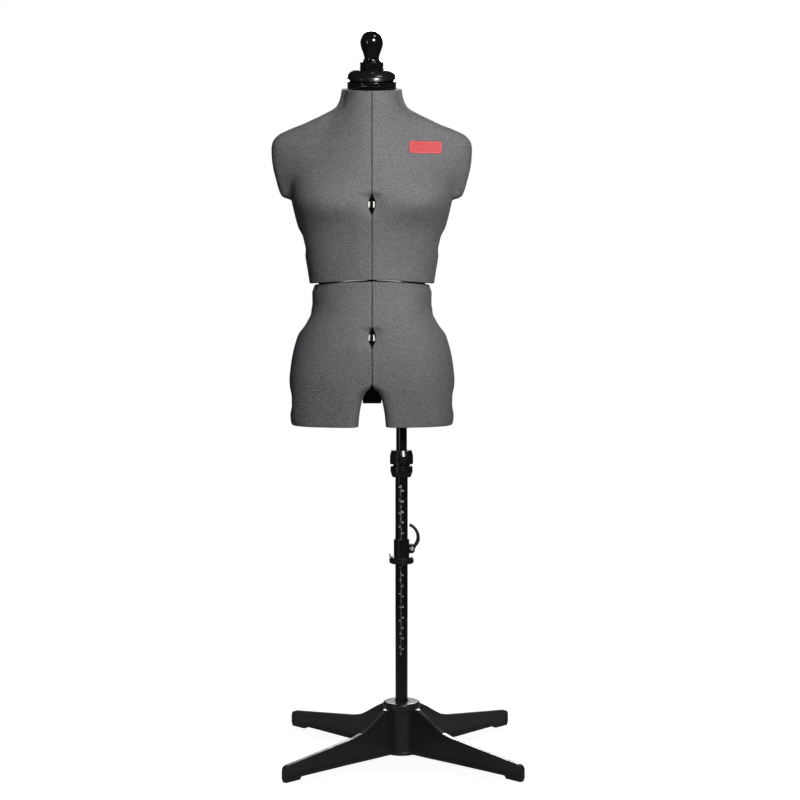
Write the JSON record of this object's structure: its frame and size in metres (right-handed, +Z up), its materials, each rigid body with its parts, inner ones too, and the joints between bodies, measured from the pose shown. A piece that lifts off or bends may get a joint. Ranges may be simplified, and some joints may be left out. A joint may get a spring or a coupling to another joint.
{
  "type": "dress form mannequin",
  "caption": "Adjustable trouser dress form: padded shells that spread on thumb wheels, carried beside a telescopic pole with a hem marker and a crossed leg base.",
  "frame": {"origin": "on the floor at the middle of the base hub, under the pole's axis", "axes": "+Z up along the pole, -Y out of the form's front, +X to the right as seen from the front"},
  "size_m": [0.4585, 0.435, 1.3515],
  "materials": {
    "jersey_cover": "foam-backed knit jersey bonded to a moulded panel",
    "gloss_black_plastic": "gloss",
    "moulded_black_plastic": "semi-gloss moulded",
    "matte_black_plastic": "fine matt moulded",
    "white_nylon": "satin nylon",
    "black_tube": "satin powder coat",
    "bright_steel": "plated",
    "black_casting": "satin glass-filled moulding"
  },
  "bodies": {
    "base": {"base_hub": "moulded_black_plastic", "front_left_leg": "moulded_black_plastic", "front_right_leg": "moulded_black_plastic", "back_right_leg": "moulded_black_plastic", "back_left_leg": "moulded_black_plastic", "outer_tube": "black_tube", "collar_body": "gloss_black_plastic", "collar_collet": "matte_black_plastic"},
    "collar_nut": {"collar_nut": "gloss_black_plastic"},
    "hem_slider": {"hem_slider": "matte_black_plastic", "hem_lever_pin": "bright_steel"},
    "hem_lever": {"hem_lever": "matte_black_plastic"},
    "hem_ring": {"hem_ring": "matte_black_plastic", "hem_clip": "matte_black_plastic"},
    "lower_core": {"inner_tube": "black_tube", "offset_bracket": "black_casting", "bracket_screws": "bright_steel", "lower_column": "black_tube", "lower_guide_block": "matte_black_plastic", "waist_plate": "matte_black_plastic"},
    "upper_core": {"upper_column": "black_tube", "upper_guide_blocks": "matte_black_plastic", "neck_cap": "gloss_black_plastic"},
    "neck_knob": {"neck_knob": "gloss_black_plastic"},
    "upper_left_arm": {"upper_left_arm": "matte_black_plastic"},
    "upper_right_arm": {"upper_right_arm": "matte_black_plastic"},
    "upper_front_arm": {"upper_front_arm": "matte_black_plastic"},
    "upper_back_arm": {"upper_back_arm": "matte_black_plastic"},
    "upper_front_left": {"upper_front_left_shell": "jersey_cover", "upper_front_left_nuts": "white_nylon"},
    "upper_front_right": {"upper_front_right_shell": "jersey_cover", "upper_front_right_nuts": "white_nylon"},
    "upper_back_left": {"upper_back_left_shell": "jersey_cover", "upper_back_left_nuts": "white_nylon"},
    "upper_back_right": {"upper_back_right_shell": "jersey_cover", "upper_back_right_nuts": "white_nylon"},
    "upper_left_dial": {"upper_left_dial": "gloss_black_plastic"},
    "upper_right_dial": {"upper_right_dial": "gloss_black_plastic"},
    "upper_front_dial": {"upper_front_dial": "gloss_black_plastic"},
    "upper_back_dial": {"upper_back_dial": "gloss_black_plastic"},
    "lower_left_arm": {"lower_left_arm": "matte_black_plastic"},
    "lower_right_arm": {"lower_right_arm": "matte_black_plastic"},
    "lower_front_arm": {"lower_front_arm": "matte_black_plastic"},
    "lower_back_arm": {"lower_back_arm": "matte_black_plastic"},
    "lower_front_left": {"lower_front_left_shell": "jersey_cover", "lower_front_left_nuts": "white_nylon"},
    "lower_front_right": {"lower_front_right_shell": "jersey_cover", "lower_front_right_nuts": "white_nylon"},
    "lower_back_left": {"lower_back_left_shell": "jersey_cover", "lower_back_left_nuts": "white_nylon"},
    "lower_back_right": {"lower_back_right_shell": "jersey_cover", "lower_back_right_nuts": "white_nylon"},
    "lower_left_dial": {"lower_left_dial": "gloss_black_plastic"},
    "thigh_left_dial": {"thigh_left_dial": "gloss_black_plastic"},
    "lower_right_dial": {"lower_right_dial": "gloss_black_plastic"},
    "thigh_right_dial": {"thigh_right_dial": "gloss_black_plastic"},
    "lower_front_dial": {"lower_front_dial": "gloss_black_plastic"},
    "lower_back_dial": {"lower_back_dial": "gloss_black_plastic"}
  },
  "joints": [
    {"name": "height_slide", "type": "slide", "parent": "base", "child": "lower_core", "axis": [0, 0, 1], "range_m": [-0.037, 0.26]},
    {"name": "collar_twist", "type": "hinge", "parent": "base", "child": "collar_nut", "pos_m": [0, 0, 0.5612], "axis": [0, 0, 1], "range_deg": [0, 90]},
    {"name": "hem_slide", "type": "slide", "parent": "base", "child": "hem_slider", "axis": [0, 0, 1], "range_m": [-0.245, 0.084]},
    {"name": "hem_lever_pivot", "type": "hinge", "parent": "hem_slider", "child": "hem_lever", "pos_m": [0.0196, 0, 0.39008], "axis": [0, 1, 0], "range_deg": [0, 85]},
    {"name": "hem_ring_spin", "type": "hinge", "parent": "hem_slider", "child": "hem_ring", "pos_m": [0, 0, 0.368], "axis": [0, 0, 1], "continuous": true},
    {"name": "back_length", "type": "slide", "parent": "lower_core", "child": "upper_core", "axis": [0, 0, 1], "range_m": [0, 0.045]},
    {"name": "neck_knob_turn", "type": "hinge", "parent": "upper_core", "child": "neck_knob", "pos_m": [-0.0552, 0, 1.26822], "axis": [0, -0.2419, 0.9703], "continuous": true},
    {"name": "upper_width", "type": "slide", "parent": "upper_core", "child": "upper_left_arm", "axis": [-1, 0, 0], "range_m": [0, 0.0165]},
    {"name": "upper_width_right", "type": "slide", "parent": "upper_core", "child": "upper_right_arm", "axis": [1, 0, 0], "range_m": [0, 0.0165]},
    {"name": "upper_depth", "type": "slide", "parent": "upper_core", "child": "upper_front_arm", "axis": [0, -1, 0], "range_m": [0, 0.0165]},
    {"name": "upper_depth_back", "type": "slide", "parent": "upper_core", "child": "upper_back_arm", "axis": [0, 1, 0], "range_m": [0, 0.0165]},
    {"name": "upper_front_left_spread", "type": "slide", "parent": "upper_left_arm", "child": "upper_front_left", "axis": [0, -1, 0], "range_m": [0, 0.0165]},
    {"name": "upper_front_right_spread", "type": "slide", "parent": "upper_right_arm", "child": "upper_front_right", "axis": [0, -1, 0], "range_m": [0, 0.0165]},
    {"name": "upper_back_left_spread", "type": "slide", "parent": "upper_left_arm", "child": "upper_back_left", "axis": [0, 1, 0], "range_m": [0, 0.0165]},
    {"name": "upper_back_right_spread", "type": "slide", "parent": "upper_right_arm", "child": "upper_back_right", "axis": [0, 1, 0], "range_m": [0, 0.0165]},
    {"name": "upper_left_dial_turn", "type": "hinge", "parent": "upper_left_arm", "child": "upper_left_dial", "pos_m": [-0.1626, 0, 0.96508], "axis": [0, 1, 0], "range_deg": [0, 1291.8]},
    {"name": "upper_right_dial_turn", "type": "hinge", "parent": "upper_right_arm", "child": "upper_right_dial", "pos_m": [0.0522, 0, 0.96508], "axis": [0, 1, 0], "range_deg": [0, 1291.8]},
    {"name": "upper_front_dial_turn", "type": "hinge", "parent": "upper_front_arm", "child": "upper_front_dial", "pos_m": [-0.0552, -0.08777, 1.03132], "axis": [1, 0, 0], "range_deg": [0, 1291.8]},
    {"name": "upper_back_dial_turn", "type": "hinge", "parent": "upper_back_arm", "child": "upper_back_dial", "pos_m": [-0.0552, 0.08168, 1.03132], "axis": [1, 0, 0], "range_deg": [0, 1291.8]},
    {"name": "lower_width", "type": "slide", "parent": "lower_core", "child": "lower_left_arm", "axis": [-1, 0, 0], "range_m": [0, 0.0165]},
    {"name": "lower_width_right", "type": "slide", "parent": "lower_core", "child": "lower_right_arm", "axis": [1, 0, 0], "range_m": [0, 0.0165]},
    {"name": "lower_depth", "type": "slide", "parent": "lower_core", "child": "lower_front_arm", "axis": [0, -1, 0], "range_m": [0, 0.0165]},
    {"name": "lower_depth_back", "type": "slide", "parent": "lower_core", "child": "lower_back_arm", "axis": [0, 1, 0], "range_m": [0, 0.0165]},
    {"name": "lower_front_left_spread", "type": "slide", "parent": "lower_left_arm", "child": "lower_front_left", "axis": [0, -1, 0], "range_m": [0, 0.0165]},
    {"name": "lower_front_right_spread", "type": "slide", "parent": "lower_right_arm", "child": "lower_front_right", "axis": [0, -1, 0], "range_m": [0, 0.0165]},
    {"name": "lower_back_left_spread", "type": "slide", "parent": "lower_left_arm", "child": "lower_back_left", "axis": [0, 1, 0], "range_m": [0, 0.0165]},
    {"name": "lower_back_right_spread", "type": "slide", "parent": "lower_right_arm", "child": "lower_back_right", "axis": [0, 1, 0], "range_m": [0, 0.0165]},
    {"name": "lower_left_dial_turn", "type": "hinge", "parent": "lower_left_arm", "child": "lower_left_dial", "pos_m": [-0.15527, 0, 0.81696], "axis": [0, 1, 0], "range_deg": [0, 1291.8]},
    {"name": "thigh_left_dial_turn", "type": "hinge", "parent": "lower_left_arm", "child": "thigh_left_dial", "pos_m": [-0.18684, 0, 0.66976], "axis": [0, 1, 0], "range_deg": [0, 1291.8]},
    {"name": "lower_right_dial_turn", "type": "hinge", "parent": "lower_right_arm", "child": "lower_right_dial", "pos_m": [0.04487, 0, 0.81696], "axis": [0, 1, 0], "range_deg": [0, 1291.8]},
    {"name": "thigh_right_dial_turn", "type": "hinge", "parent": "lower_right_arm", "child": "thigh_right_dial", "pos_m": [0.07644, 0, 0.66976], "axis": [0, 1, 0], "range_deg": [0, 1291.8]},
    {"name": "lower_front_dial_turn", "type": "hinge", "parent": "lower_front_arm", "child": "lower_front_dial", "pos_m": [-0.0552, -0.07266, 0.78936], "axis": [1, 0, 0], "range_deg": [0, 1291.8]},
    {"name": "lower_back_dial_turn", "type": "hinge", "parent": "lower_back_arm", "child": "lower_back_dial", "pos_m": [-0.0552, 0.07948, 0.78936], "axis": [1, 0, 0], "range_deg": [0, 1291.8]}
  ],
  "couplings": [
    {"joint": "upper_width_right", "follows": "upper_width", "ratio": 1},
    {"joint": "upper_depth_back", "follows": "upper_depth", "ratio": 1},
    {"joint": "upper_front_left_spread", "follows": "upper_depth", "ratio": 1},
    {"joint": "upper_front_right_spread", "follows": "upper_depth", "ratio": 1},
    {"joint": "upper_back_left_spread", "follows": "upper_depth", "ratio": 1},
    {"joint": "upper_back_right_spread", "follows": "upper_depth", "ratio": 1},
    {"joint": "upper_left_dial_turn", "follows": "upper_depth", "rad_per_m": 1365.9},
    {"joint": "upper_right_dial_turn", "follows": "upper_depth", "rad_per_m": 1365.9},
    {"joint": "upper_front_dial_turn", "follows": "upper_width", "rad_per_m": 1365.9},
    {"joint": "upper_back_dial_turn", "follows": "upper_width", "rad_per_m": 1365.9},
    {"joint": "lower_width_right", "follows": "lower_width", "ratio": 1},
    {"joint": "lower_depth_back", "follows": "lower_depth", "ratio": 1},
    {"joint": "lower_front_left_spread", "follows": "lower_depth", "ratio": 1},
    {"joint": "lower_front_right_spread", "follows": "lower_depth", "ratio": 1},
    {"joint": "lower_back_left_spread", "follows": "lower_depth", "ratio": 1},
    {"joint": "lower_back_right_spread", "follows": "lower_depth", "ratio": 1},
    {"joint": "lower_left_dial_turn", "follows": "lower_depth", "rad_per_m": 1365.9},
    {"joint": "thigh_left_dial_turn", "follows": "lower_depth", "rad_per_m": 1365.9},
    {"joint": "lower_right_dial_turn", "follows": "lower_depth", "rad_per_m": 1365.9},
    {"joint": "thigh_right_dial_turn", "follows": "lower_depth", "rad_per_m": 1365.9},
    {"joint": "lower_front_dial_turn", "follows": "lower_width", "rad_per_m": 1365.9},
    {"joint": "lower_back_dial_turn", "follows": "lower_width", "rad_per_m": 1365.9}
  ]
}
